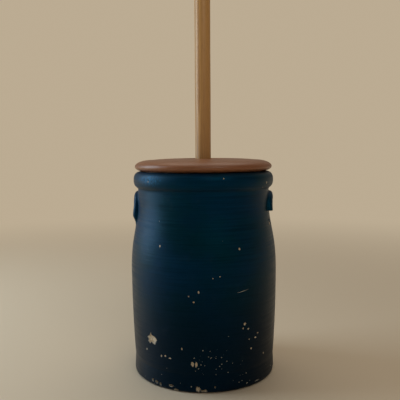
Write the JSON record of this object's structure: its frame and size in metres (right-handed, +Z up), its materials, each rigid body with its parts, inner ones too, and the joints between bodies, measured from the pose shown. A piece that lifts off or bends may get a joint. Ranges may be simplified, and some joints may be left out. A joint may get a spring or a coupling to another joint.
{
  "type": "butter churn",
  "caption": "Stoneware churn: a round-shouldered jar with applied ears, a turned wooden lid with a saucer, and a wooden plunger with a bored cross.",
  "frame": {"origin": "centre of the jar's underside, on the surface that it stands on", "axes": "+Z up along the staff, +X through the broken ear, -X through the whole ear, -Y towards the viewer of the picture"},
  "size_m": [0.248, 0.248, 0.7753],
  "materials": {
    "painted_stoneware": "dark blue paint over stoneware, satin, worn and chipped",
    "lid_wood": "red-brown wood, satin varnish",
    "staff_wood": "golden-brown wood, smooth",
    "cross_wood": "bare pale wood, washed",
    "nail_iron": "dull grey iron"
  },
  "bodies": {
    "crock": {"crock_jar": "painted_stoneware", "left_ear": "painted_stoneware", "right_ear": "painted_stoneware"},
    "lid": {"lid_board": "lid_wood", "lid_plug": "lid_wood", "lid_nails": "nail_iron"},
    "dasher": {"dasher_staff": "staff_wood", "dasher_lower_slat": "cross_wood", "dasher_upper_slat": "cross_wood", "dasher_wedge": "cross_wood", "dasher_nails": "nail_iron"}
  },
  "joints": [
    {"name": "lid_lift", "type": "slide", "parent": "crock", "child": "lid", "axis": [0, 0, 1], "range_m": [0, 0.46]},
    {"name": "dasher_plunge", "type": "slide", "parent": "crock", "child": "dasher", "axis": [0, 0, 1], "range_m": [0, 0.29]}
  ]
}
